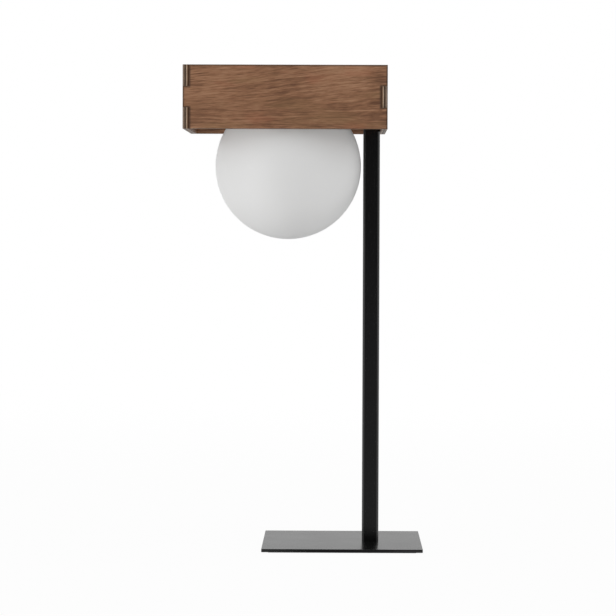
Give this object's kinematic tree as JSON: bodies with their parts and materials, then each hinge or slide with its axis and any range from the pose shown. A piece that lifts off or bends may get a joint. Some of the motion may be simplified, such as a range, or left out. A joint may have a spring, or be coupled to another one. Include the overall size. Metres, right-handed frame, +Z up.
{
  "type": "table lamp",
  "caption": "Table lamp with a finger-jointed walnut plywood box head, an opal glass globe in its open underside, a square black post and a flat square base.",
  "frame": {"origin": "centre of the underside of the base felt, on the surface that the lamp stands on", "axes": "+Z up, +X towards the post's side, -Y towards the front"},
  "size_m": [0.2268, 0.152, 0.4583],
  "materials": {
    "walnut_plywood": "veneered plywood, matt oil",
    "batten_wood": "sawn",
    "black_powder_coat": "satin powder coat",
    "black_felt": "felt",
    "zinc_steel": "zinc plated",
    "bare_steel": "turned",
    "spun_steel": "spun, zinc plated",
    "tinned_copper": "tinned",
    "brass": "machined",
    "opal_glass": "satin opal",
    "frosted_glass": "frosted",
    "ceramic": "unglazed steatite",
    "white_plastic": "moulded",
    "led_aluminium": "coated",
    "terminal_nylon": "moulded nylon",
    "black_rubber": "moulded",
    "clear_silicone": "moulded silicone",
    "brown_lead": "insulation",
    "blue_lead": "insulation",
    "green_yellow_lead": "insulation"
  },
  "bodies": {
    "frame": {"base_felt": "black_felt", "base_plate": "black_powder_coat", "block_screws": "zinc_steel", "carrier_plate": "black_powder_coat", "carrier_screws": "zinc_steel", "contact_springs": "zinc_steel", "cord_inlet_grommet": "black_rubber", "cup_screws": "zinc_steel", "earth_lead": "green_yellow_lead", "earth_lug": "tinned_copper", "earth_screw": "zinc_steel", "foot_pin": "zinc_steel", "foot_plug": "bare_steel", "foot_screw": "zinc_steel", "front_panel": "walnut_plywood", "glass_holder_cup": "spun_steel", "glue_battens": "batten_wood", "holder_bracket": "zinc_steel", "holder_rivets": "zinc_steel", "lamp_holder": "ceramic", "left_panel": "walnut_plywood", "live_lead": "brown_lead", "neck_gasket": "clear_silicone", "neutral_lead": "blue_lead", "panel_inserts": "brass", "post": "black_powder_coat", "rear_panel": "walnut_plywood", "right_panel": "walnut_plywood", "terminal_block": "terminal_nylon", "terminal_screws": "zinc_steel", "terminal_sleeves": "brass", "top_panel": "walnut_plywood", "wiring_bush": "black_rubber"},
    "globe": {"globe_neck": "opal_glass", "opal_globe": "opal_glass"},
    "bulb": {"bulb_base": "white_plastic", "bulb_pins": "zinc_steel", "bulb_envelope": "frosted_glass", "led_core": "led_aluminium"}
  },
  "joints": [
    {"name": "globe_removal", "type": "slide", "parent": "frame", "child": "globe", "axis": [0, 0, -1], "range_m": [0, 0.13]},
    {"name": "bulb_removal", "type": "slide", "parent": "frame", "child": "bulb", "axis": [0, 0, -1], "range_m": [0, 0.018]}
  ]
}
